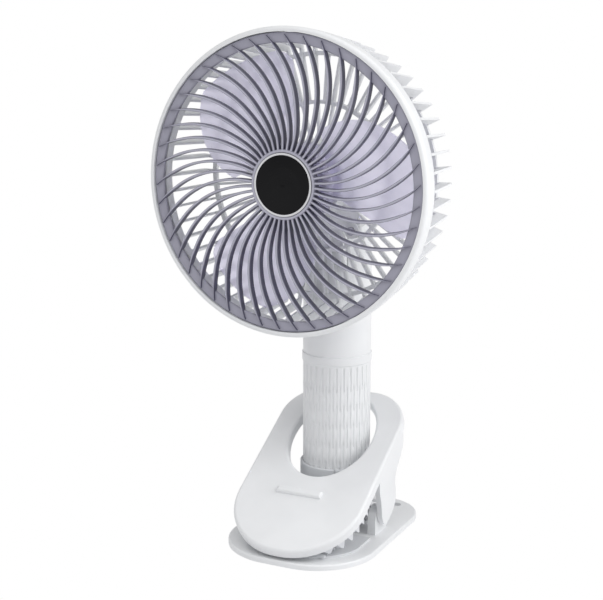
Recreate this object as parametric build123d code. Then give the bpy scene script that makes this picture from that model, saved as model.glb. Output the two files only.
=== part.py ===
from build123d import *
import math
import os

# Folding clip fan: a round caged head tilts on the neck of a battery handle,
# and the handle turns in the cup of a spring clip that also stands on a table.
# Millimetres. The handle's axis is x = y = 0, the table is z = 0, the air blows towards -Y.
# "Ahead" means a distance in front of the handle's axis, so y = -ahead.

# Clip base
foot_t = 1.0
foot_inset = 3.0
base_half_w = 43.0
base_front = 77.5
base_back = 38.5
base_t = 3.0
base_front_inset = 8.0
base_back_r = 25.0
base_edge_r = 1.0
slot_margin = 14.0
slot_w = 5.0
slot_back = 9.5
upright_t = 4.7
upright_inset = 3.8
upright_front = 22.0
upright_back = 7.0
upright_top = 19.5
pivot_ahead = 14.5
pivot_z = 14.0
hinge_pin_r = 1.5
hinge_pin_past = 2.2
run_gap = 0.05
press_gap = 0.015
side_gap = 0.4
fit_gap = 0.3

# Cup that holds the handle
cup_wall = 1.6
cup_rim_z = 37.5
cup_floor_z = 22.0
cup_foot = 3.1
cup_base_h = 3.0

# Upper jaw, a sloping lever plate
slope = 31.0
jaw_z0 = 58.0
jaw_side = 5.0
jaw_t = 5.6
jaw_front = 79.0
jaw_back = 25.0
jaw_front_flat = 1.5
jaw_back_r = 25.0
jaw_edge_r = 1.8
hole_half_w = 24.5
hole_front = 33.5
hole_back = 20.9
bar_ahead = 45.0
bar_x = -1.5
bar_half_len = 13.5
bar_w = 4.4
bar_h = 1.9
cheek_t = 3.0
cheek_r = 5.6

# Grip pads between the jaws
pad_t = 1.2
pad_inset = 9.0
pad_len = 40.0
tooth_h = 1.2
tooth_pitch = 4.0
tooth_rows = 9
comb_inset = 4.5
comb_front = 71.0
comb_len = 36.0
comb_depth = 5.0
comb_rib_t = 1.5
comb_pitch = 4.3
comb_gap = 0.6

# Torsion springs
spring_r = 4.3
spring_wire = 1.3
spring_turns = 3.5
spring_pitch = 1.75
spring_inset = 8.9
spring_foot = 9.0
spring_reach = 8.6

# Handle and neck
handle_r = 19.3
handle_wall = 2.1
cap_t = 2.6
band_z = 97.0
band_h = 5.2
band_proud = 0.55
tilt_z = 157.0
neck_hollow_top = 140.0
slot_half = 12.9
knuckle_r = 12.0
knuckle_gap = 0.4
tilt_pin_r = 2.0
tilt_pin_half = 16.4

# What the handle holds
cell_gap = 0.2
cell_r = 10.6
cell_len = 70.0
cradle_t = 4.0
cradle_inset = 6.3
cradle_rib_w = 6.0
cradle_rib_t = 3.0
board_w = 22.0
board_t = 1.6
board_h = 30.0
board_z = 105.0
board_depth = 6.7
button_z = 126.0
button_r = 5.0
button_proud = 0.9
button_travel = 0.5
button_stem = 2.5
led_z = 116.0
led_pitch = 3.2
led_r = 0.8
led_count = 4
port_z = 109.0
port_w = 9.0
port_h = 3.4
port_wall = 0.5
port_depth = 6.0

# Head
hub_z = 203.0
grille_ahead = 69.5
rim_r = 79.2
rim_wall = 2.7
rim_front = 68.6
rim_back = 58.2
grille_ring_w = 5.2
grille_ring_front = 67.4
grille_ring_back = 62.4
rib_count = 46
rib_bend_r = 51.7
rib_straight_end = 22.0
rib_tip_inset = 1.7
rib_w = 1.4
rib_depth = 5.0
rib_first_deg = 2.7
crest_in_r = 42.0
crest_out_r = 68.0
grille_hub_r = 18.1
grille_hub_bore = 16.5
hub_set_back = 2.0
badge_r = 15.2
badge_ring_w = 1.1
badge_floor_t = 1.6

# Rear cage
fin_count = 54
fin_t = 1.3
fin_first_deg = -0.4
fin_inset = 0.6
fin_taper = 4.6
fin_side_w = 5.2
fin_back_w = 3.6
cage_back = 20.4
hoop_inset = 8.5
hoop_w = 2.4
hoop_t = 2.4
inner_hoop_r = 40.0
inner_hoop_w = 2.0
cage_lip_w = 3.6
pod_r = 20.0
pod_front = 38.0
floor_t = 2.6
ear_x = 19.5
ear_z = 175.0
ear_r = 4.2
screw_r = 1.25
screw_head_r = 2.3
top_screw_x = 8.0
top_screw_z = 209.0

# Motor, shaft and blades
motor_r = 15.0
motor_len = 17.0
shaft_r = 1.5
shaft_front = 59.0
blade_hub_r = 20.0
blade_hub_front = 60.5
blade_hub_back = 43.0
blade_hub_wall = 1.8
blade_boss_r = 4.0
blade_tip_r = 68.0
blade_t = 1.7
blade_count = 3
blade_root_pitch = 20.0
blade_tip_pitch = 13.0
blade_root_rise = 9.0
blade_tip_rise = -4.0
blade_mid = 50.5
blade_corner_r = 8.0
blade_front = 60.5

# Tilting arm
arm_half_w = 12.5
arm_t = 12.0
arm_top_z = 213.0

# Sizes that follow from the ones above
slot_len = 2 * (base_half_w - slot_margin)
base_front_r = base_half_w - base_front_inset
jaw_half_w = base_half_w - jaw_side
jaw_front_r = jaw_half_w - jaw_front_flat
upright_out = jaw_half_w - upright_inset
upright_in = upright_out - upright_t
hinge_pin_half = upright_out + hinge_pin_past
spring_in = upright_in - spring_inset
cup_r = handle_r + cup_wall
cup_base_r = cup_r + cup_foot
band_r = handle_r + band_proud
board_y = handle_r - board_depth
slot_y = base_back - slot_back
rim_in_r = rim_r - rim_wall
grille_ring_out = rim_in_r - fit_gap
grille_ring_in = grille_ring_out - grille_ring_w
rib_tip_r = grille_ring_out - rib_tip_inset
fin_front_r = rim_r - fin_inset
fin_tip_r = fin_front_r - fin_taper
cage_lip_out = rim_in_r - fit_gap
hoop_r = fin_tip_r - hoop_inset
cap_plug_h = 0.8
cell_z = cup_floor_z + fit_gap + cap_t + cap_plug_h

os.makedirs("parts", exist_ok=True)
fan_axis = Axis((0, 0, hub_z), (0, 1, 0))
tilt_axis = Axis((0, 0, tilt_z), (1, 0, 0))


def save(node, shape):
    """Write one named piece."""
    shape.label = node
    export_step(shape, f"parts/{node}.step")


def outline(points):
    """A face from the corner points of a closed outline."""
    return make_face(Polyline(*points, close=True))


def turned(points):
    """A body turned about the fan's axis from (radius, ahead) points."""
    face = outline([(r, -ahead) for r, ahead in points])
    return revolve(Pos(0, 0, hub_z) * face, fan_axis, 360)


def ring(r_in, r_out, ahead_front, ahead_back):
    """A plain ring about the fan's axis."""
    return turned([(r_in, ahead_front), (r_out, ahead_front), (r_out, ahead_back), (r_in, ahead_back)])


def fan_disc(r, ahead_front, ahead_back, x=0.0, z=hub_z):
    """A round bar along Y, between two distances ahead of the handle."""
    face = Plane((x, -ahead_back, z), x_dir=(1, 0, 0), z_dir=(0, -1, 0)) * Circle(r)
    return extrude(face, ahead_front - ahead_back)


def cross_bar(r, x0, x1, y, z):
    """A round bar along X."""
    return extrude(Plane((x0, y, z), x_dir=(0, 1, 0), z_dir=(1, 0, 0)) * Circle(r), x1 - x0)


def upright_bar(r, z0, z1, x=0.0, y=0.0):
    """A round bar along Z."""
    return extrude(Pos(x, y, z0) * Circle(r), z1 - z0)


def rod(r, start, end):
    """A round bar between two points."""
    run = Vector(*end) - Vector(*start)
    return extrude(Plane(start, z_dir=run) * Circle(r), run.length)


def side_slab(points, x0, x1):
    """A slab between two x planes from a (y, z) outline."""
    face = Plane((x0, 0, 0), x_dir=(0, 1, 0), z_dir=(1, 0, 0)) * outline(points)
    return extrude(face, x1 - x0)


def box(x0, x1, y0, y1, z0, z1):
    """A block between two corners."""
    return Pos((x0 + x1) / 2, (y0 + y1) / 2, (z0 + z1) / 2) * Box(x1 - x0, y1 - y0, z1 - z0)


def around_fan(shape, count, first_deg):
    """Copies of a shape, evenly spaced about the fan's axis."""
    step = 360 / count
    return [shape.rotate(fan_axis, -first_deg - step * k) for k in range(count)]


def base_outline(inset=0.0):
    """The clip base's plan, with large front corners."""
    w = 2 * (base_half_w - inset)
    length = base_front + base_back - 2 * inset
    plan = Pos(0, (base_back - base_front) / 2) * Rectangle(w, length)
    ends = plan.vertices().sort_by(Axis.Y)
    plan = fillet(ends[:2], base_front_r - inset)
    ends = plan.vertices().sort_by(Axis.Y)
    return fillet(ends[-2:], base_back_r - inset)


def upright():
    """One of the base's two walls that carry the hinge pin."""
    shoulder = upright_top - (upright_front - upright_back) / 2
    mid = -(upright_front + upright_back) / 2
    wall = side_slab([(-upright_front, foot_t + base_t - 0.5), (-upright_back, foot_t + base_t - 0.5),
                      (-upright_back, shoulder), (-upright_front, shoulder)], upright_in, upright_out)
    return wall + cross_bar((upright_front - upright_back) / 2, upright_in, upright_out, mid, shoulder)


def base_plate():
    """The lower jaw: a flat foot with a strap slot and two uprights."""
    plate = extrude(Pos(0, 0, foot_t) * base_outline(), base_t)
    plate = fillet(plate.faces().sort_by(Axis.Z)[-1].edges(), base_edge_r)
    slot = Pos(0, slot_y, foot_t - 1) * SlotOverall(slot_len, slot_w)
    plate -= extrude(slot, base_t + 2)
    wall = upright()
    plate += wall
    plate += wall.mirror(Plane.YZ)
    pin_hole = cross_bar(hinge_pin_r + press_gap, -hinge_pin_half, hinge_pin_half, -pivot_ahead, pivot_z)
    return plate - pin_hole


def foot_pad():
    """Thin rubber sheet under the base."""
    pad = extrude(base_outline(foot_inset), foot_t)
    slot = Pos(0, slot_y, -1) * SlotOverall(slot_len + 2, slot_w + 2)
    return pad - extrude(slot, foot_t + 2)


def cup():
    """Socket that the handle turns in, with a split in its front wall."""
    top = foot_t + base_t
    body = upright_bar(cup_r, top, cup_rim_z)
    foot = upright_bar(cup_base_r, top, top + cup_base_h)
    foot = chamfer(foot.edges().filter_by(GeomType.CIRCLE).sort_by(Axis.Z)[-1], cup_base_h * 0.8)
    body += foot
    body -= upright_bar(handle_r + fit_gap, cup_floor_z, cup_rim_z + 1)
    notch_deg = 22.0
    notch = box(-0.5, 0.5, -cup_r - 1, -handle_r + 1, cup_rim_z - 8, cup_rim_z + 1)
    body -= notch.rotate(Axis.Z, notch_deg)
    rim = body.edges().filter_by(GeomType.CIRCLE).group_by(Axis.Z)[-1]
    body = chamfer(rim.sort_by(SortBy.LENGTH)[-1], 0.5)
    return body - cross_bar(hinge_pin_r + press_gap, -cup_base_r, cup_base_r, -pivot_ahead, pivot_z)


def hinge_pin():
    """Steel pin that runs under the cup from cheek to cheek."""
    return cross_bar(hinge_pin_r, -hinge_pin_half, hinge_pin_half, -pivot_ahead, pivot_z)


def spring():
    """A torsion spring on the pin: coil, a foot on the base and a leg up to the lever."""
    length = spring_turns * spring_pitch
    helix = Helix(spring_pitch, length, spring_r)
    parts = int(4 * spring_turns)
    arcs = [ThreePointArc(helix @ (k / parts), helix @ ((k + 0.5) / parts), helix @ ((k + 1) / parts))
            for k in range(parts)]
    section = Plane(arcs[0] @ 0, z_dir=arcs[0] % 0) * Circle(spring_wire / 2)
    wire = sweep(section, path=Wire([a.edge() for a in arcs]))
    wire = Pos(spring_in, -pivot_ahead, pivot_z) * wire.rotate(Axis.Y, 90)
    low_start = (spring_in, -pivot_ahead, pivot_z - spring_r)
    low_end = (spring_in, -pivot_ahead - spring_foot, foot_t + base_t + spring_wire / 2)
    top_start = (spring_in + length, -pivot_ahead, pivot_z + spring_r)
    rail = jaw_z0 - math.tan(math.radians(slope)) * spring_reach
    under = rail - jaw_t / math.cos(math.radians(slope)) - spring_wire
    legs = [rod(spring_wire / 2, low_start, low_end),
            rod(spring_wire / 2, top_start, (spring_in + length, -spring_reach, under))]
    bends = [Pos(*low_start) * Sphere(spring_wire * 0.52), Pos(*top_start) * Sphere(spring_wire * 0.52)]
    return wire + bends + legs


def springs():
    """The two torsion springs, one each side of the cup."""
    one = spring()
    return Compound(children=[one, one.mirror(Plane.YZ)])


def jaw_plane():
    """Plane of the lever's top face, with its y running up the slope."""
    tilt = math.radians(slope)
    return Plane((0, 0, jaw_z0), x_dir=(1, 0, 0), z_dir=(0, -math.sin(tilt), math.cos(tilt)))


def along_slope(y):
    """Distance up the slope of a plan position y."""
    return y / math.cos(math.radians(slope))


def jaw_outline(inset=0.0):
    """The lever's outline in its own plane."""
    v_front = along_slope(-jaw_front) + inset
    v_back = along_slope(jaw_back) - inset
    plan = Pos(0, (v_front + v_back) / 2) * Rectangle(2 * (jaw_half_w - inset), v_back - v_front)
    plan = fillet(plan.vertices().sort_by(Axis.Y)[:2], jaw_front_r - inset)
    return fillet(plan.vertices().sort_by(Axis.Y)[-2:], jaw_back_r - inset)


def jaw_plate():
    """The lever's sloping plate with its oval hole and rounded edges."""
    plan = jaw_outline()
    h_front = along_slope(-hole_front)
    h_back = along_slope(hole_back)
    plan -= Pos(0, (h_front + h_back) / 2) * Ellipse(hole_half_w, (h_back - h_front) / 2)
    plate = extrude(plan, -jaw_t)
    plate = fillet(plate.faces().sort_by(Axis.Z)[-1].edges(), jaw_edge_r)
    bar = Pos(bar_x, along_slope(-bar_ahead), 0) * Box(2 * bar_half_len, bar_w, 2 * bar_h)
    bar = fillet(bar.faces().sort_by(Axis.Z)[-1].edges(), bar_h * 0.8)
    return jaw_plane() * (plate + bar)


def cheek():
    """Leaf-shaped ear that hangs from the lever's side and turns on the pin."""
    x0 = upright_out + side_gap
    x1 = x0 + cheek_t
    rise = math.tan(math.radians(slope))
    under = [(y, jaw_z0 + rise * y - jaw_t * 0.8) for y in (-20.0, 8.0)]
    low = (-pivot_ahead, pivot_z - cheek_r)
    front = Spline(under[0], (-24.3, 31.7), (-21.5, 22.0), (-pivot_ahead - cheek_r, pivot_z), low)
    back = Spline(low, (-7.0, 12.2), (-1.4, 18.0), (-0.8, 25.0), (-1.8, 32.0), (2.5, 39.0), under[1])
    side = Plane((x0, 0, 0), x_dir=(0, 1, 0), z_dir=(1, 0, 0))
    leaf = extrude(side * make_face([front, back, Line(under[1], under[0])]), cheek_t)
    return leaf - cross_bar(hinge_pin_r + run_gap, x0 - 1, hinge_pin_half + 0.1, -pivot_ahead, pivot_z)


def lever():
    """Upper jaw: plate, finger bar and two cheeks."""
    ear = cheek()
    return jaw_plate() + ear + ear.mirror(Plane.YZ)


def lower_pad():
    """Toothed rubber pad on the base's front."""
    z = foot_t + base_t
    band = Pos(0, -base_front + pad_inset + pad_len / 2) * Rectangle(2 * base_half_w, pad_len)
    pad = extrude(Pos(0, 0, z) * (base_outline(pad_inset) & band), pad_t)
    half = base_half_w - 2.2 * pad_inset
    teeth = []
    for k in range(tooth_rows):
        y = -base_front + pad_inset + (k + 0.6) * tooth_pitch
        teeth.append(side_slab([(y, z + pad_t - 0.3), (y + tooth_pitch * 0.8, z + pad_t - 0.3),
                                (y + tooth_pitch * 0.4, z + pad_t + tooth_h)], -half, half))
    return pad + teeth


def jaw_comb():
    """Ribbed grip under the lever's front; its ribs stop just above the lower pad."""
    v0 = along_slope(-comb_front)
    band = Pos(0, v0 + comb_len / 2) * Rectangle(2 * jaw_half_w, comb_len)
    plan = jaw_outline(comb_inset) & band
    comb = extrude(plan, -pad_t)
    reach = extrude(plan, -comb_depth)
    rows = int(comb_len / comb_pitch)
    for k in range(rows):
        v = v0 + comb_rib_t + k * comb_pitch
        comb += reach & Pos(0, v, -comb_depth / 2) * Box(2 * jaw_half_w, comb_rib_t, comb_depth)
    comb = jaw_plane() * (Pos(0, 0, -jaw_t) * comb)
    floor = foot_t + base_t + pad_t + tooth_h + comb_gap
    return comb - box(-jaw_half_w, jaw_half_w, -base_front - 20, 0, floor - 20, floor)


def handle_tube():
    """Handle's outer tube, open at both ends."""
    z0 = cup_floor_z + fit_gap + cap_t
    tube = upright_bar(handle_r, z0, band_z)
    return tube - upright_bar(handle_r - handle_wall, z0 - 1, band_z + 1)


def bottom_cap():
    """Plug that closes the handle's lower end."""
    z0 = cup_floor_z + fit_gap
    cap = upright_bar(handle_r, z0, z0 + cap_t)
    cap = chamfer(cap.edges().sort_by(Axis.Z)[0], 0.8)
    return cap + upright_bar(handle_r - handle_wall - 0.1, z0 + cap_t - 0.2, cell_z)


def neck_band():
    """Slightly proud ring where the handle meets the neck."""
    band = upright_bar(band_r, band_z, band_z + band_h)
    band = chamfer(band.edges().filter_by(GeomType.CIRCLE), 0.4)
    return band - upright_bar(handle_r - handle_wall, band_z - 1, band_z + band_h + 1)


def tilt_slot():
    """Space that the arm's knuckle swings in."""
    reach = handle_r + 5
    top = tilt_z + handle_r + 5
    knuckle = cross_bar(knuckle_r + knuckle_gap, -slot_half, slot_half, 0, tilt_z)
    front = box(-slot_half, slot_half, -reach, 0, tilt_z - 5 - knuckle_gap, top)
    upper = box(-slot_half, slot_half, -reach, reach, tilt_z + cage_back - arm_t - knuckle_gap, top)
    return knuckle + front + upper


def neck_shell():
    """Neck with a rounded clevis top and the rear openings for button, lamps and port."""
    z0 = band_z + band_h
    neck = upright_bar(handle_r, z0, tilt_z)
    dome = upright_bar(handle_r, tilt_z, tilt_z + handle_r)
    neck += dome & cross_bar(handle_r, -handle_r, handle_r, 0, tilt_z)
    neck -= upright_bar(handle_r - handle_wall, z0 - 1, neck_hollow_top)
    neck -= tilt_slot()
    neck -= cross_bar(tilt_pin_r + press_gap, -tilt_pin_half, tilt_pin_half, 0, tilt_z)
    neck -= fan_disc(button_r + fit_gap, -10, -handle_r - 2, z=button_z)
    for k in range(led_count):
        x = (k - (led_count - 1) / 2) * led_pitch
        neck -= fan_disc(led_r, -10, -handle_r - 2, x=x, z=led_z)
    port = extrude(port_plane(-10) * SlotOverall(port_w + 0.1, port_h + 0.1), handle_r)
    return neck - port


def port_plane(ahead):
    """Plane across the port, facing backwards."""
    return Plane((0, -ahead, port_z), x_dir=(1, 0, 0), z_dir=(0, 1, 0))


def usb_port():
    """Charging socket: an oval sleeve with a tongue."""
    depth_plane = port_plane(-(handle_r - port_depth - 0.6))
    sleeve = extrude(depth_plane * SlotOverall(port_w, port_h), port_depth)
    inside = port_plane(-(handle_r - port_depth + 0.4))
    sleeve -= extrude(inside * SlotOverall(port_w - 2 * port_wall, port_h - 2 * port_wall), port_depth + 1)
    y1 = handle_r - 1.8
    return sleeve + box(-3.2, 3.2, y1 - port_depth + 2, y1, port_z - 0.35, port_z + 0.35)


def circuit_board():
    """Board behind the button, with its switch."""
    board = box(-board_w / 2, board_w / 2, board_y - board_t, board_y, board_z, board_z + board_h)
    switch = box(-3, 3, board_y - 0.1, board_y + 1.4, button_z - 3, button_z + 3)
    board += switch
    board -= box(-port_w / 2 - 0.2, port_w / 2 + 0.2, board_y - 3, board_y + 3, board_z - 1, port_z + port_h)
    return board


def power_button():
    """Round push button in the back of the neck."""
    y0 = board_y + 1.4 + button_travel + 0.3
    cap = fan_disc(button_r, -(handle_r - 2.6), -(handle_r + button_proud), z=button_z)
    cap = fillet(cap.edges().sort_by(Axis.Y)[-1], 0.6)
    stem = fan_disc(button_stem, -y0, -(handle_r - 2.4), z=button_z)
    return cap + stem


def charge_leds():
    """Four charge lamps, one light pipe each."""
    lamps = []
    for k in range(led_count):
        x = (k - (led_count - 1) / 2) * led_pitch
        lamps.append(fan_disc(led_r, -(board_y), -(handle_r - 0.1 - x * x * 0.03), x=x, z=led_z))
    return Compound(children=lamps)


def battery_cell():
    """Round cell in the handle, with its raised pole."""
    cell = upright_bar(cell_r, cell_z, cell_z + cell_len)
    cell = chamfer(cell.edges().filter_by(GeomType.CIRCLE), 0.6)
    return cell + upright_bar(3.5, cell_z + cell_len - 0.2, cell_z + cell_len + 1.2)


def battery_cradle():
    """Two rings and a rib that hold the cell in the middle of the tube."""
    r_out = handle_r - handle_wall - fit_gap
    low = cell_z + cradle_inset
    high = cell_z + cell_len - cradle_inset - cradle_t
    bore = upright_bar(cell_r + cell_gap, low - 1, high + cradle_t + 1)
    inner = cell_r + 2 * cell_gap
    cradle = box(-cradle_rib_w / 2, cradle_rib_w / 2, inner, inner + cradle_rib_t, low, high + cradle_t)
    for z in (low, high):
        cradle += upright_bar(r_out, z, z + cradle_t)
    return cradle - bore


def tilt_pin():
    """Steel pin through the neck's two cheeks."""
    return cross_bar(tilt_pin_r, -tilt_pin_half, tilt_pin_half, 0, tilt_z)


def tilt_arm():
    """Arm behind the cage that ends in the tilting knuckle."""
    y0 = -cage_back
    y1 = y0 + arm_t
    bar = side_slab([(y0, tilt_z - 5), (y1, tilt_z - 5), (y1, arm_top_z), (y0, arm_top_z)],
                    -arm_half_w, arm_half_w)
    bar = fillet(bar.edges().filter_by(Axis.X).group_by(Axis.Z)[-1].sort_by(Axis.Y)[-1], 7)
    arm = bar + cross_bar(knuckle_r, -arm_half_w, arm_half_w, 0, tilt_z)
    arm -= cross_bar(tilt_pin_r + run_gap, -arm_half_w - 1, arm_half_w + 1, 0, tilt_z)
    for x in (-top_screw_x, top_screw_x):
        arm -= fan_disc(screw_r, cage_back + 1, cage_back - 7, x=x, z=top_screw_z)
    return arm


def fin_profile():
    """One cage fin in the plane through the fan's axis."""
    front = rim_back - fit_gap
    return [(fin_front_r, front), (fin_tip_r, cage_back), (inner_hoop_r, cage_back),
            (inner_hoop_r, cage_back + fin_back_w), (fin_tip_r - fin_side_w, cage_back + fin_back_w),
            (fin_front_r - fin_side_w, front)]


def fin(points):
    """A thin fin from (radius, ahead) points."""
    face = Pos(0, 0, hub_z - fin_t / 2) * outline([(r, -a) for r, a in points])
    return extrude(face, fin_t)


def mount_plate():
    """Plate behind the motor, with two ears for the lower screws."""
    back = cage_back
    face = outline([(-ear_x - ear_r, ear_z), (ear_x + ear_r, ear_z), (pod_r - 1, hub_z), (-pod_r + 1, hub_z)])
    plate = Plane((0, -back, 0), x_dir=(1, 0, 0), z_dir=(0, -1, 0)) * face
    plate = extrude(plate, floor_t)
    for x in (-ear_x, ear_x):
        plate += fan_disc(ear_r, back + floor_t + 2, back, x=x, z=ear_z)
    return plate + fan_disc(pod_r, back + floor_t, back)


def rear_cage():
    """Basket of radial fins, two hoops, the front lip and the motor pod."""
    cage = around_fan(fin(fin_profile()), fin_count, fin_first_deg)
    inner = [(inner_hoop_r + 0.5, cage_back), (pod_r - 1, cage_back),
             (pod_r - 1, cage_back + floor_t), (inner_hoop_r + 0.5, cage_back + floor_t)]
    cage += around_fan(fin(inner), fin_count // 2, fin_first_deg)
    lip_back = rim_back - fit_gap - 1.5
    cage.append(ring(cage_lip_out - cage_lip_w, cage_lip_out, grille_ring_back, lip_back))
    cage.append(ring(hoop_r - hoop_w / 2, hoop_r + hoop_w / 2, cage_back + hoop_t, cage_back))
    cage.append(ring(inner_hoop_r - inner_hoop_w / 2, inner_hoop_r + inner_hoop_w / 2,
                     cage_back + hoop_t + 1, cage_back))
    cage.append(ring(motor_r + 0.1, pod_r, pod_front, cage_back))
    body = mount_plate() + cage
    for x in (-ear_x, ear_x):
        body -= fan_disc(screw_r, cage_back + 9, cage_back - 1, x=x, z=ear_z)
    for x in (-top_screw_x, top_screw_x):
        body -= fan_disc(screw_r, cage_back + 9, cage_back - 1, x=x, z=top_screw_z)
    return body


def cage_screws():
    """Screws that hold the cage to the arm and its ears."""
    screws = []
    for x in (-ear_x, ear_x):
        head = fan_disc(screw_head_r, cage_back + floor_t + 3.4, cage_back + floor_t + 2, x=x, z=ear_z)
        screws.append(head + fan_disc(screw_r, cage_back + floor_t + 2.5, cage_back, x=x, z=ear_z))
    for x in (-top_screw_x, top_screw_x):
        screws.append(fan_disc(screw_r, cage_back + floor_t, cage_back - 6, x=x, z=top_screw_z))
    return Compound(children=screws)


def rim_ring():
    """Smooth white ring round the front of the cage."""
    ring_face = outline([(rim_in_r, -rim_back), (rim_r - 0.6, -rim_back), (rim_r, -rim_front + 3),
                         (rim_r, -rim_front), (rim_in_r, -rim_front)])
    corner = ring_face.vertices().sort_by(Axis.Y)[:2].sort_by(Axis.X)[-1]
    ring_face = fillet(corner, 2.0)
    return revolve(Pos(0, 0, hub_z) * ring_face, fan_axis, 360)


def rib():
    """One spiral rib: straight at the hub, then an arc that ends in a point on the ring."""
    turn = math.acos((rib_straight_end ** 2 + 2 * rib_bend_r ** 2 - rib_tip_r ** 2)
                     / (2 * rib_bend_r * math.hypot(rib_bend_r, rib_straight_end)))
    turn -= math.atan2(rib_straight_end, rib_bend_r)
    turn = abs(turn)

    def on_arc(angle, side):
        x = rib_straight_end + (rib_bend_r - side) * math.sin(angle)
        return (x, rib_bend_r - (rib_bend_r - side) * math.cos(angle))

    hub_end = grille_hub_r - 0.8
    tip = on_arc(turn, 0)
    low = ThreePointArc((rib_straight_end, 0), on_arc(turn / 2, 0), tip)
    high = ThreePointArc(tip, on_arc(turn * 0.55, rib_w), (rib_straight_end, rib_w))
    edges = [Line((hub_end, 0), (rib_straight_end, 0)), low, high,
             Line((rib_straight_end, rib_w), (hub_end, rib_w)), Line((hub_end, rib_w), (hub_end, 0))]
    face = make_face(edges)
    tip_deg = math.degrees(math.atan2(tip[1], tip[0]))
    lay = Plane((0, -grille_ahead + rib_depth, hub_z), x_dir=(1, 0, 0), z_dir=(0, -1, 0))
    blade = extrude(lay * face, rib_depth)
    return blade, tip_deg


def front_grille():
    """Spiral grille: ribs between the hub ring and the outer ring, over its face."""
    blade, tip_deg = rib()
    ribs = around_fan(blade, rib_count, rib_first_deg - tip_deg)
    envelope = turned([(0, grille_ahead - hub_set_back), (grille_hub_r + 2, grille_ahead - hub_set_back),
                       (crest_in_r, grille_ahead), (crest_out_r, grille_ahead), (rib_tip_r + 0.5, grille_ring_front + 0.1),
                       (rib_tip_r + 0.5, grille_ring_back), (0, grille_ring_back)])
    outer = ring(grille_ring_in, grille_ring_out, grille_ring_front, grille_ring_back)
    hub = ring(grille_hub_bore, grille_hub_r, grille_ahead - hub_set_back + 0.3, grille_ring_back)
    hub_floor = fan_disc(grille_hub_r - 0.5, grille_ring_back + badge_floor_t, grille_ring_back)
    grille = outer + [r & envelope for r in ribs]
    return grille + hub + hub_floor


def badge_ring():
    """Bright ring round the plain centre disc."""
    front = grille_ahead - hub_set_back + 0.2
    return ring(badge_r + 0.05, badge_r + badge_ring_w, front, grille_ring_back + badge_floor_t)


def badge_disc():
    """Plain black centre disc, slightly domed."""
    front = grille_ahead - hub_set_back
    return turned([(0, front + 0.3), (badge_r * 0.6, front + 0.2), (badge_r, front - 0.1),
                   (badge_r, grille_ring_back + badge_floor_t), (0, grille_ring_back + badge_floor_t)])


def motor():
    """Motor can in the pod, with its front bearing boss."""
    back = cage_back + floor_t
    can = fan_disc(motor_r, back + motor_len, back)
    can = chamfer(can.edges().sort_by(Axis.Y)[0], 1.0)
    can += fan_disc(4.0, back + motor_len + 1.5, back + motor_len - 0.5)
    return can - fan_disc(shaft_r + run_gap, back + motor_len + 3, back + 2)


def motor_shaft():
    """Shaft that carries the blades."""
    return fan_disc(shaft_r, shaft_front, cage_back + floor_t + 2.3)


def blade_section(r, pitch_deg, chord, rise):
    """A thin curved blade section on a plane across the blade at one radius."""
    half = chord / 2
    camber = chord * 0.03
    top = ThreePointArc((-half, 0), (0, camber + blade_t / 2), (half, 0))
    low = ThreePointArc((half, 0), (0, camber - blade_t / 2), (-half, 0))
    face = make_face([top, low])
    place = Plane((r, -blade_mid, hub_z + rise), x_dir=(0, 0, 1), z_dir=(1, 0, 0))
    return place * (Rot(0, 0, pitch_deg) * face)


def blade():
    """One broad rounded blade: a twisted sheet trimmed to its plan outline."""
    radii = [blade_hub_r - 2.5, 36.0, 54.0, blade_tip_r + 3]
    sheets = []
    for r in radii:
        t = (r - radii[0]) / (radii[-1] - radii[0])
        pitch = blade_root_pitch + (blade_tip_pitch - blade_root_pitch) * t
        rise = blade_root_rise + (blade_tip_rise - blade_root_rise) * t
        sheets.append(blade_section(r, pitch, 62 + 50 * t, rise))
    sheet = loft(sheets)
    polar = [(blade_hub_r - 1.2, 70.0), (33.0, 58.0), (43.0, 49.0), (52.0, 40.0), (60.0, 30.0)]
    lead = [(r * math.cos(math.radians(a)), r * math.sin(math.radians(a))) for r, a in polar]
    tip_a = [(blade_tip_r * math.cos(math.radians(a)), blade_tip_r * math.sin(math.radians(a)))
             for a in (18.0, -8.0, -26.0)]
    trail = (blade_hub_r - 1.2) * math.cos(math.radians(-18)), (blade_hub_r - 1.2) * math.sin(math.radians(-18))
    edges = [Spline(*lead, tip_a[0]), ThreePointArc(*tip_a), Line(tip_a[2], trail), Line(trail, lead[0])]
    plan = make_face(edges)
    corner = plan.vertices().sort_by(Axis.Y)[0]
    plan = fillet(corner, blade_corner_r)
    front_trim = Plane((0, -blade_front, hub_z), x_dir=(1, 0, 0), z_dir=(0, -1, 0))
    return sheet & extrude(front_trim * plan, -30)


def fan_blades():
    """Three blades on a domed hub that hangs over the motor."""
    hub = turned([(0, blade_hub_front), (blade_hub_r - 5, blade_hub_front - 0.4),
                  (blade_hub_r - 1.4, blade_hub_front - 2.4), (blade_hub_r, blade_hub_front - 5),
                  (blade_hub_r, blade_hub_back), (blade_hub_r - blade_hub_wall, blade_hub_back),
                  (blade_hub_r - blade_hub_wall, blade_hub_front - 5.2), (blade_hub_r - 5, blade_hub_front - 2.6),
                  (0, blade_hub_front - 2.6)])
    boss = fan_disc(blade_boss_r, blade_hub_front - 2, blade_hub_front - 18)
    blades = around_fan(blade(), blade_count, 0)
    cavity = fan_disc(blade_hub_r - blade_hub_wall, blade_hub_front - 5.2, blade_hub_back - 12)
    trimmed = [b - cavity for b in blades]
    body = hub + boss + trimmed
    return body - fan_disc(shaft_r, shaft_front, blade_hub_front - 19)


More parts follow.
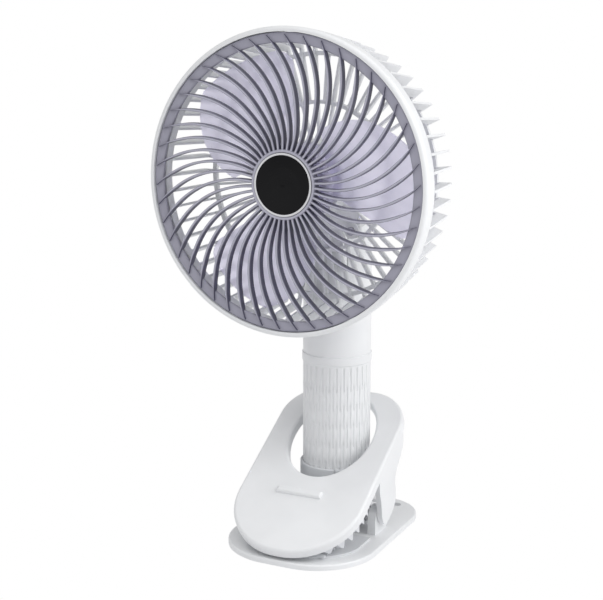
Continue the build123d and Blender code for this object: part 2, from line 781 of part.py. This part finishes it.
pieces = {
    "base_plate": base_plate,
    "foot_pad": foot_pad,
    "handle_cup": cup,
    "hinge_pin": hinge_pin,
    "lower_pad": lower_pad,
    "torsion_springs": springs,
    "lever": lever,
    "jaw_pad": jaw_comb,
    "handle_tube": handle_tube,
    "bottom_cap": bottom_cap,
    "neck_band": neck_band,
    "neck_shell": neck_shell,
    "battery_cell": battery_cell,
    "battery_cradle": battery_cradle,
    "circuit_board": circuit_board,
    "usb_port": usb_port,
    "charge_leds": charge_leds,
    "power_button": power_button,
    "tilt_pin": tilt_pin,
    "tilt_arm": tilt_arm,
    "rear_cage": rear_cage,
    "cage_screws": cage_screws,
    "rim_ring": rim_ring,
    "front_grille": front_grille,
    "badge_ring": badge_ring,
    "badge_disc": badge_disc,
    "motor": motor,
    "motor_shaft": motor_shaft,
    "fan_blades": fan_blades,
}
for name, make in pieces.items():
    save(name, make())
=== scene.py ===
import math

import bmesh
import bpy
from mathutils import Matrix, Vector


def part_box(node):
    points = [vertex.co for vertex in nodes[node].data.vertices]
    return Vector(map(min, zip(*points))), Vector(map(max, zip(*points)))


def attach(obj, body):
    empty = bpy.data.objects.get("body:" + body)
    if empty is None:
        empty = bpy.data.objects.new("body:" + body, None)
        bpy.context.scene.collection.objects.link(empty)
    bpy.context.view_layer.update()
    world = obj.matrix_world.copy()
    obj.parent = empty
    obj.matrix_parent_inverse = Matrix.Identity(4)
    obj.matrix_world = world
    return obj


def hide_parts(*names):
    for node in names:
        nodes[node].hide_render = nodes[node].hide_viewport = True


# Looks of a white clip fan with a grey-lavender spiral grille. Metres; MM turns millimetres into them.
MM = 0.001

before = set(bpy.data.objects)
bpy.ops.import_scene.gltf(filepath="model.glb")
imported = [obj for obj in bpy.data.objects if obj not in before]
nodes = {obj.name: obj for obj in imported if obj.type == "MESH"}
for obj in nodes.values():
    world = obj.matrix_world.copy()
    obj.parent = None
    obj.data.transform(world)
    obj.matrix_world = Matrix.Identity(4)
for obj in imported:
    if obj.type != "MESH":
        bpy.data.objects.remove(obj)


def low_high(node):
    """A CAD node's lowest and highest corner, in millimetres."""
    low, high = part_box(node)
    return low / MM, high / MM


rim_low, rim_high = low_high("rim_ring")
HUB_Z = (rim_low.z + rim_high.z) / 2


# Materials

def smooth_shader(name, color, rough, **extra):
    """A new material and its shader, with the plain values set on the shader itself."""
    mat = bpy.data.materials.new(name)
    mat.use_nodes = True
    shader = mat.node_tree.nodes["Principled BSDF"]
    shader.inputs["Base Color"].default_value = (*color, 1)
    shader.inputs["Roughness"].default_value = rough
    for key, value in extra.items():
        shader.inputs[key.replace("_", " ")].default_value = value
    return mat, shader


def place(mat):
    """Object coordinates for a material's textures."""
    return mat.node_tree.nodes.new("ShaderNodeTexCoord").outputs["Object"]


def noise(mat, scale, detail=3.0, stretch=(1, 1, 1)):
    """A noise texture, in object coordinates."""
    tree = mat.node_tree
    mapping = tree.nodes.new("ShaderNodeMapping")
    mapping.inputs["Scale"].default_value = stretch
    tree.links.new(place(mat), mapping.inputs["Vector"])
    node = tree.nodes.new("ShaderNodeTexNoise")
    node.inputs["Scale"].default_value = scale
    node.inputs["Detail"].default_value = detail
    tree.links.new(mapping.outputs["Vector"], node.inputs["Vector"])
    return node.outputs["Fac"]


def spread(mat, value, low, high, start=0.3, end=0.7):
    """A value remapped to a range."""
    node = mat.node_tree.nodes.new("ShaderNodeMapRange")
    node.inputs["From Min"].default_value = start
    node.inputs["From Max"].default_value = end
    node.inputs["To Min"].default_value = low
    node.inputs["To Max"].default_value = high
    mat.node_tree.links.new(value, node.inputs["Value"])
    return node.outputs["Result"]


def tint(mat, shader, value, low, high):
    """Base colour that runs between two colours with a value."""
    ramp = mat.node_tree.nodes.new("ShaderNodeValToRGB")
    ramp.color_ramp.elements[0].position = 0.3
    ramp.color_ramp.elements[0].color = (*low, 1)
    ramp.color_ramp.elements[1].position = 0.7
    ramp.color_ramp.elements[1].color = (*high, 1)
    mat.node_tree.links.new(value, ramp.inputs["Fac"])
    mat.node_tree.links.new(ramp.outputs["Color"], shader.inputs["Base Color"])


def bump(mat, shader, value, strength, distance):
    """Small surface relief from a value."""
    node = mat.node_tree.nodes.new("ShaderNodeBump")
    node.inputs["Strength"].default_value = strength
    node.inputs["Distance"].default_value = distance
    mat.node_tree.links.new(value, node.inputs["Height"])
    mat.node_tree.links.new(node.outputs["Normal"], shader.inputs["Normal"])


def moulded(name, color, rough, grain=2600.0, relief=0.12, shift=0.025, **extra):
    """Injection-moulded plastic: a fine spark grain, faint flow marks and uneven gloss."""
    mat, shader = smooth_shader(name, color, rough, **extra)
    flow = noise(mat, 45.0, 2.0)
    darker = tuple(max(0.0, c - shift) for c in color)
    lighter = tuple(min(1.0, c + shift * 0.5) for c in color)
    tint(mat, shader, flow, darker, lighter)
    gloss = spread(mat, noise(mat, 160.0), rough - 0.05, rough + 0.06)
    mat.node_tree.links.new(gloss, shader.inputs["Roughness"])
    bump(mat, shader, noise(mat, grain, 1.0), relief, 0.00004)
    return mat


def drawn_metal(name, color, rough, stretch=(1, 12, 12)):
    """Drawn steel with fine lines along its length."""
    mat, shader = smooth_shader(name, color, rough, Metallic=1.0)
    lines = noise(mat, 900.0, 2.0, stretch)
    gloss = spread(mat, lines, rough - 0.08, rough + 0.1)
    mat.node_tree.links.new(gloss, shader.inputs["Roughness"])
    bump(mat, shader, lines, 0.1, 0.00002)
    return mat


def lit_and_shaded_plastic(name, wall, crest, rough):
    """Moulded plastic in a lit and a shaded copy: faces across the air flow keep the paler crest colour, and
    the walls get a dark wall colour as painted shade.
    """
    mat = moulded(name, crest, rough)
    tree = mat.node_tree
    shader = tree.nodes["Principled BSDF"]
    facing = tree.nodes.new("ShaderNodeSeparateXYZ")
    tree.links.new(tree.nodes.new("ShaderNodeTexCoord").outputs["Normal"], facing.inputs["Vector"])
    size = tree.nodes.new("ShaderNodeMath")
    size.operation = "ABSOLUTE"
    tree.links.new(facing.outputs["Y"], size.inputs[0])
    # Faces turned sideways to the fan's axis fade from the lit crest colour to the wall colour.
    share = spread(mat, size.outputs["Value"], 0.0, 1.0, 0.1, 0.75)
    mix = tree.nodes.new("ShaderNodeMix")
    mix.data_type = "RGBA"
    # The wall colour is painted shade on the rib walls, not a second colour of the plastic.
    mix.inputs["A"].default_value = (*wall, 1)
    flow = shader.inputs["Base Color"].links[0].from_socket
    tree.links.new(share, mix.inputs["Factor"])
    tree.links.new(flow, mix.inputs["B"])
    tree.links.new(mix.outputs["Result"], shader.inputs["Base Color"])
    return mat


WHITE = moulded("white_satin", (0.845, 0.855, 0.87), 0.38)
CAGE = moulded("cage_satin", (0.845, 0.855, 0.87), 0.34)
CUP_WHITE = moulded("cup_satin", (0.74, 0.755, 0.78), 0.42)
# Grille: the paler crest colour and the dark wall colour are painted light and painted shade on one lavender
# plastic.
GREY = lit_and_shaded_plastic("grille_lavender", (0.09, 0.088, 0.135), (0.46, 0.455, 0.54), 0.34)
RING_GREY = moulded("ring_lavender", (0.37, 0.365, 0.44), 0.36)
LILAC = moulded("blade_lilac", (0.87, 0.85, 0.97), 0.6, shift=0.012, Transmission_Weight=0.85, IOR=1.12)
RUBBER = moulded("grey_rubber", (0.42, 0.425, 0.45), 0.72, grain=1500.0, relief=0.35)
BLACK = moulded("badge_black", (0.006, 0.006, 0.007), 0.22, relief=0.03, shift=0.002, Specular_IOR_Level=0.12)
TRIM = drawn_metal("bright_trim", (0.62, 0.62, 0.64), 0.16)
STEEL = drawn_metal("drawn_steel", (0.55, 0.55, 0.57), 0.3)
CELL = moulded("cell_sleeve", (0.06, 0.16, 0.42), 0.3)
BOARD = moulded("solder_mask", (0.02, 0.14, 0.06), 0.32, grain=900.0, relief=0.3)
PIPE = moulded("light_pipe", (0.78, 0.83, 0.88), 0.2)

LOOKS = {
    "base_plate": WHITE, "foot_pad": RUBBER, "handle_cup": CUP_WHITE, "hinge_pin": STEEL,
    "lower_pad": CUP_WHITE, "torsion_springs": STEEL, "lever": WHITE, "jaw_pad": CUP_WHITE,
    "bottom_cap": WHITE, "neck_band": WHITE, "neck_shell": WHITE, "handle_tube": WHITE,
    "battery_cell": CELL, "battery_cradle": WHITE, "circuit_board": BOARD, "usb_port": STEEL,
    "charge_leds": PIPE, "power_button": WHITE, "tilt_pin": STEEL, "tilt_arm": CAGE,
    "rear_cage": CAGE, "cage_screws": STEEL, "rim_ring": CAGE, "front_grille": GREY,
    "badge_ring": TRIM, "badge_disc": BLACK, "motor": STEEL, "motor_shaft": STEEL, "fan_blades": LILAC,
}
for name, mat in LOOKS.items():
    mesh = nodes[name].data
    mesh.materials.clear()
    mesh.materials.append(mat)


# Mesh helpers

def piece(name, verts, faces, mat, body, stands_for, slot_name, angle=40.0):
    """A visual piece from millimetre points, smooth except at sharp edges."""
    mesh = bpy.data.meshes.new(name)
    mesh.from_pydata([Vector(v) * MM for v in verts], [], faces)
    bm = bmesh.new()
    bm.from_mesh(mesh)
    bmesh.ops.remove_doubles(bm, verts=bm.verts, dist=1e-6)
    bmesh.ops.recalc_face_normals(bm, faces=bm.faces)
    for edge in bm.edges:
        edge.smooth = len(edge.link_faces) < 2 or edge.calc_face_angle(0) < math.radians(angle)
    for face in bm.faces:
        face.smooth = True
    bm.to_mesh(mesh)
    bm.free()
    mesh.materials.append(mat)
    obj = bpy.data.objects.new(name, mesh)
    bpy.context.collection.objects.link(obj)
    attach(obj, body)
    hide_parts(*stands_for)
    return obj


def fan_point(r, deg, ahead):
    """A point about the fan's axis, with the angle turning left from the right-hand side."""
    a = math.radians(deg)
    return (r * math.cos(a), -ahead, HUB_Z + r * math.sin(a))


def sweep_ring(profile, count):
    """A ring about the fan's axis from closed (radius, ahead) points."""
    verts = [fan_point(r, 360.0 * k / count, ahead) for k in range(count) for r, ahead in profile]
    return verts, tube_faces(count, len(profile), True)


def tube_faces(rows, width, closed, start=0):
    """Quads between rows of points, each row a closed loop."""
    faces = []
    for k in range(rows if closed else rows - 1):
        here = start + k * width
        there = start + ((k + 1) % rows) * width
        for j in range(width):
            i = (j + 1) % width
            faces.append((here + j, here + i, there + i, there + j))
    return faces


def closed_rows(rows):
    """A closed shape through rows of points, with flat ends."""
    verts = [p for row in rows for p in row]
    width = len(rows[0])
    faces = tube_faces(len(rows), width, False)
    faces.append(tuple(range(width)))
    faces.append(tuple(range(len(verts) - 1, len(verts) - 1 - width, -1)))
    return verts, faces


def add(total, part):
    """Append verts and faces to a growing pair of lists."""
    verts, faces = part
    base = len(total[0])
    total[0].extend(verts)
    total[1].extend([tuple(base + i for i in f) for f in faces])


# Grip with staggered dashes

grip_low, grip_high = low_high("handle_tube")
GRIP_WALL = 2.1
GRIP_R = grip_high.x
GRIP_BORE = GRIP_R - GRIP_WALL
GRIP_LOW = grip_low.z
GRIP_TOP = grip_high.z
DASH_DEPTH = 0.45
DASH_EDGE = 0.5
DASH_HALF_DEG = 1.75
DASH_EDGE_DEG = 0.7
DASH_COLUMNS = 60
DASH_OFFSETS = (-3.0, -1.75, -1.05, 0.0, 1.05, 1.75)
EVEN_DASHES = [(38.0, 53.0), (60.5, 75.0), (82.0, 96.0)]
ODD_DASHES = [(27.0, 42.0), (49.3, 63.8), (71.0, 85.6)]


def dash_depth(column, offset, z):
    """Depth of the dash pattern at an angle off a column's middle."""
    across = min(1.0, max(0.0, (DASH_HALF_DEG - abs(offset)) / DASH_EDGE_DEG))
    dashes = EVEN_DASHES if column % 2 == 0 else ODD_DASHES
    along = max(min(1.0, max(0.0, min(z - low, high - z) / DASH_EDGE)) for low, high in dashes)
    return DASH_DEPTH * across * along


def grip():
    """The handle's tube, closed, with its dashes pressed in."""
    levels = {GRIP_LOW, GRIP_TOP}
    for low, high in EVEN_DASHES + ODD_DASHES:
        levels.update((low, low + DASH_EDGE, high - DASH_EDGE, high))
    levels = sorted(levels)
    verts = []
    for k in range(DASH_COLUMNS):
        for offset in DASH_OFFSETS:
            a = math.radians(-90 + 360.0 * k / DASH_COLUMNS + offset)
            column = [(GRIP_R - dash_depth(k, offset, z), z) for z in levels]
            column += [(GRIP_BORE, GRIP_TOP), (GRIP_BORE, GRIP_LOW)]
            verts += [(r * math.cos(a), r * math.sin(a), z) for r, z in column]
    faces = tube_faces(DASH_COLUMNS * len(DASH_OFFSETS), len(levels) + 2, True)
    return verts, faces


piece("grip_tube", *grip(), WHITE, "handle", ["handle_tube"], "white_shell", 50.0)


# Spiral grille

RIBS = 46
RIB_W = 1.4
RIB_DEPTH = 4.2
RIB_TIP_R = 75.1
BEND_R = 51.7
STRAIGHT_END = 22.0
HUB_END = 17.3
TIP_DEG = 2.7
TIP_RISE = 1.2
TIP_TAPER = 11.0
TIP_POWER = 0.75
TIP_SHARE = 0.03
BEND_REACH = math.radians(65.2)
BEND_STEPS = 44
STRAIGHT_STEPS = 4
CREST_LEVEL_R = 42.0
CREST_DIP = 2.0
CREST_FALL_R = 66.0
BACK_RISE_R = 70.0
BACK_RISE = 0.5
BACK_CLEAR = 0.6
RIB_SECTION = ((0.0, None), (0.0, 1.0), (0.1, 0.42), (0.28, 0.1), (0.5, 0.0),
               (0.72, 0.1), (0.9, 0.42), (1.0, 1.0), (1.0, None))
grille_low, grille_high = low_high("front_grille")
CREST = -grille_low.y
RING_BACK = -grille_high.y
RING_H = 5.0
RING_W = 5.2
RING_T = 1.5
RING_WALL = 1.4
RING_FACE = RING_BACK + RING_H
RING_OUT = grille_high.x
RING_IN = RING_OUT - RING_W
HUB_R = 18.1
HUB_WALL = 1.6
HUB_DROP = 1.8
BADGE_FLOOR_T = 1.5
BADGE_FLOOR = RING_BACK + BADGE_FLOOR_T


def rib_line():
    """Points along one rib's clockwise edge, with their heading, from hub to tip."""
    straight = STRAIGHT_END - HUB_END
    stations = [(HUB_END + straight * k / STRAIGHT_STEPS, 0.0, 0.0) for k in range(STRAIGHT_STEPS)]
    for k in range(BEND_STEPS + 1):
        t = BEND_REACH * k / BEND_STEPS
        stations.append((STRAIGHT_END + BEND_R * math.sin(t), BEND_R * (1 - math.cos(t)), t))
    return stations


def crest_at(r):
    """How far ahead the rib's crest is at a radius."""
    if r < CREST_LEVEL_R:
        t = max(0.0, (r - STRAIGHT_END) / (CREST_LEVEL_R - STRAIGHT_END))
        return CREST - CREST_DIP + CREST_DIP * t * t * (3 - 2 * t)
    if r > CREST_FALL_R:
        t = min(1.0, (r - CREST_FALL_R) / (RIB_TIP_R - CREST_FALL_R))
        return CREST - (CREST - RING_FACE - TIP_RISE) * t * t
    return CREST


def rib_loops(turn):
    """One rib as loops of points: a slim wall with a rounded crest that thins to a point."""
    rows = []
    c, s = math.cos(turn), math.sin(turn)
    for x, z, heading in rib_line():
        r = math.hypot(x, z)
        width = RIB_W * min(1.0, max(TIP_SHARE, (RIB_TIP_R - r) / TIP_TAPER)) ** TIP_POWER
        top = crest_at(r)
        back = top - RIB_DEPTH
        if r >= BACK_RISE_R:
            back = min(RING_FACE - BACK_CLEAR, back + (r - BACK_RISE_R) * BACK_RISE)
        nx, nz = -math.sin(heading), math.cos(heading)
        row = []
        for share, drop in RIB_SECTION:
            px, pz = x + nx * width * share, z + nz * width * share
            ahead = back if drop is None else top - drop
            row.append((px * c - pz * s, -ahead, HUB_Z + px * s + pz * c))
        rows.append(row)
    return rows


def grille():
    """All ribs, the hub ring and its floor."""
    total = ([], [])
    tip = rib_line()[-1]
    tip_turn = math.atan2(tip[1], tip[0])
    for k in range(RIBS):
        turn = math.radians(TIP_DEG + 360.0 * k / RIBS) - tip_turn
        add(total, closed_rows(rib_loops(turn)))
    hub_face = CREST - HUB_DROP
    bore = HUB_R - HUB_WALL
    hub = [(bore, BADGE_FLOOR), (bore, hub_face - 0.3), (bore + 0.3, hub_face), (HUB_R - 0.4, hub_face),
           (HUB_R, hub_face - 0.5), (HUB_R, RING_BACK), (0.01, RING_BACK), (0.01, BADGE_FLOOR)]
    add(total, sweep_ring(hub, 120))
    return total


def grille_ring():
    """The ring the ribs end on: a thin face on a wall that goes back to the cage."""
    face_back = RING_FACE - RING_T
    wall_in = RING_OUT - RING_WALL
    outer = [(wall_in, RING_BACK), (wall_in, face_back), (RING_IN, face_back), (RING_IN, RING_FACE - 0.6),
             (RING_IN + 0.2, RING_FACE - 0.15), (RING_IN + 0.7, RING_FACE), (RING_OUT - 0.6, RING_FACE),
             (RING_OUT - 0.2, RING_FACE - 0.15), (RING_OUT, RING_FACE - 0.6), (RING_OUT, RING_BACK)]
    return sweep_ring(outer, 240)


piece("spiral_grille", *grille(), GREY, "head", ["front_grille"], "grille_grey", 50.0)
piece("grille_ring", *grille_ring(), RING_GREY, "head", ["front_grille"], "grille_grey", 50.0)


# Toothed grip under the lever

SLOPE = math.radians(31.0)
LEVER_TOP = 58.0
LEVER_T = 5.6
LEVER_HALF_W = 38.0
LEVER_FRONT = 92.16
LEVER_FRONT_R = 36.5
COMB_INSET = 2.5
COMB_SHEET = 1.2
COMB_START = 82.8
COMB_TEETH = 6
COMB_ROWS = 24
TOOTH_PITCH = 6.0
TOOTH_DEPTH = 6.5
TOOTH_GAP = 0.1
TOOTH_TIP_HALF = 0.35
comb_floor = low_high("jaw_pad")[0].z


def on_lever(x, down_slope, under):
    """A point from its place down the lever's slope and its depth under the top face."""
    y = -down_slope * math.cos(SLOPE) + under * math.sin(SLOPE)
    return (x, y, LEVER_TOP - down_slope * math.sin(SLOPE) - under * math.cos(SLOPE))


def comb_half_width(down_slope):
    """Half the grip's width, inside the lever's rounded front."""
    corner = LEVER_FRONT_R - COMB_INSET
    into = LEVER_FRONT - COMB_INSET - down_slope
    flat = LEVER_HALF_W - COMB_INSET - corner
    return flat + math.sqrt(max(0.0, corner ** 2 - max(0.0, corner - into) ** 2))


def tooth(middle):
    """One V-shaped tooth across the lever, cut off just above the lower pad."""
    top = LEVER_T + COMB_SHEET - TOOTH_GAP
    room = (LEVER_TOP - middle * math.sin(SLOPE) - comb_floor) / math.cos(SLOPE)
    tip = min(top + TOOTH_DEPTH, room)
    half = TOOTH_PITCH / 2 - TOOTH_GAP
    corners_at = ((middle - half, top), (middle - TOOTH_TIP_HALF, tip),
                  (middle + TOOTH_TIP_HALF, tip), (middle + half, top))
    sides = [[on_lever(side * comb_half_width(v), v, under) for v, under in corners_at] for side in (-1, 1)]
    return closed_rows(sides)


def comb():
    """The thin sheet and its row of teeth."""
    total = ([], [])
    length = COMB_TEETH * TOOTH_PITCH
    rows = []
    for k in range(COMB_ROWS + 1):
        v = COMB_START - length * k / COMB_ROWS
        half = comb_half_width(v)
        below = LEVER_T + COMB_SHEET
        rows.append([on_lever(-half, v, LEVER_T), on_lever(half, v, LEVER_T),
                     on_lever(half, v, below), on_lever(-half, v, below)])
    add(total, closed_rows(rows))
    for k in range(COMB_TEETH):
        add(total, tooth(COMB_START - TOOTH_PITCH * (k + 0.5)))
    return total


piece("jaw_teeth", *comb(), CUP_WHITE, "upper_jaw", ["jaw_pad"], "white_shell", 30.0)


# Studio

def backdrop_material():
    """White to the camera and to reflections."""
    mat = bpy.data.materials.new("backdrop_white")
    mat.use_nodes = True
    tree = mat.node_tree
    tree.nodes.clear()
    out = tree.nodes.new("ShaderNodeOutputMaterial")
    plain = tree.nodes.new("ShaderNodeBsdfDiffuse")
    plain.inputs["Color"].default_value = (0.86, 0.86, 0.87, 1)
    glow = tree.nodes.new("ShaderNodeEmission")
    glow.inputs["Color"].default_value = (1, 1, 1, 1)
    path = tree.nodes.new("ShaderNodeLightPath")
    seen = tree.nodes.new("ShaderNodeMath")
    seen.operation = "MAXIMUM"
    tree.links.new(path.outputs["Is Camera Ray"], seen.inputs[0])
    tree.links.new(path.outputs["Is Glossy Ray"], seen.inputs[1])
    mix = tree.nodes.new("ShaderNodeMixShader")
    tree.links.new(seen.outputs["Value"], mix.inputs["Fac"])
    tree.links.new(plain.outputs["BSDF"], mix.inputs[1])
    tree.links.new(glow.outputs["Emission"], mix.inputs[2])
    tree.links.new(mix.outputs["Shader"], out.inputs["Surface"])
    return mat


def world_light(strength):
    """An even pale world that the camera and rays through clear parts see as white."""
    world = bpy.data.worlds.new("studio")
    bpy.context.scene.world = world
    world.use_nodes = True
    tree = world.node_tree
    back = tree.nodes["Background"]
    back.inputs["Color"].default_value = (1, 1, 1, 1)
    path = tree.nodes.new("ShaderNodeLightPath")
    seen = tree.nodes.new("ShaderNodeMath")
    seen.operation = "MAXIMUM"
    tree.links.new(path.outputs["Is Camera Ray"], seen.inputs[0])
    tree.links.new(path.outputs["Is Transmission Ray"], seen.inputs[1])
    power = tree.nodes.new("ShaderNodeMapRange")
    power.inputs["To Min"].default_value = strength
    power.inputs["To Max"].default_value = 1.0
    tree.links.new(seen.outputs["Value"], power.inputs["Value"])
    tree.links.new(power.outputs["Result"], back.inputs["Strength"])


def lamp(name, place_mm, aim_mm, size, watts):
    """A soft square lamp that looks at a point."""
    data = bpy.data.lights.new(name, "AREA")
    data.size = size
    data.energy = watts
    obj = bpy.data.objects.new(name, data)
    obj.location = Vector(place_mm) * MM
    obj.rotation_euler = (Vector(aim_mm) * MM - obj.location).to_track_quat("-Z", "Y").to_euler()
    bpy.context.collection.objects.link(obj)


def camera():
    """The photograph's viewpoint."""
    data = bpy.data.cameras.new("camera")
    data.sensor_width = 36.0
    data.lens = 76.42
    data.clip_start = 0.01
    data.clip_end = 20.0
    obj = bpy.data.objects.new("camera", data)
    obj.location = (0.2960, -0.6446, 0.2754)
    obj.rotation_euler = (math.radians(78.5), 0, math.radians(26.3))
    bpy.context.collection.objects.link(obj)
    bpy.context.scene.camera = obj


def floor():
    """A plain floor under the foot."""
    mesh = bpy.data.meshes.new("floor")
    half = 6.0
    low = -0.0002
    corners_at = [(-half, -half, low), (half, -half, low), (half, half, low), (-half, half, low)]
    mesh.from_pydata(corners_at, [], [(0, 1, 2, 3)])
    mesh.materials.append(backdrop_material())
    obj = bpy.data.objects.new("floor", mesh)
    bpy.context.collection.objects.link(obj)


floor()
world_light(0.53)
lamp("key", (900, 150, 700), (0, -20, 150), 0.6, 4.4)
lamp("near_right", (280, -190, 260), (20, -20, 40), 0.25, 0.2)
lamp("top", (-100, -500, 1000), (0, -20, 120), 0.8, 2.6)
lamp("left_fill", (-800, -700, 300), (0, -20, 170), 0.9, 0.3)
camera()
bpy.context.scene.view_settings.view_transform = "Standard"
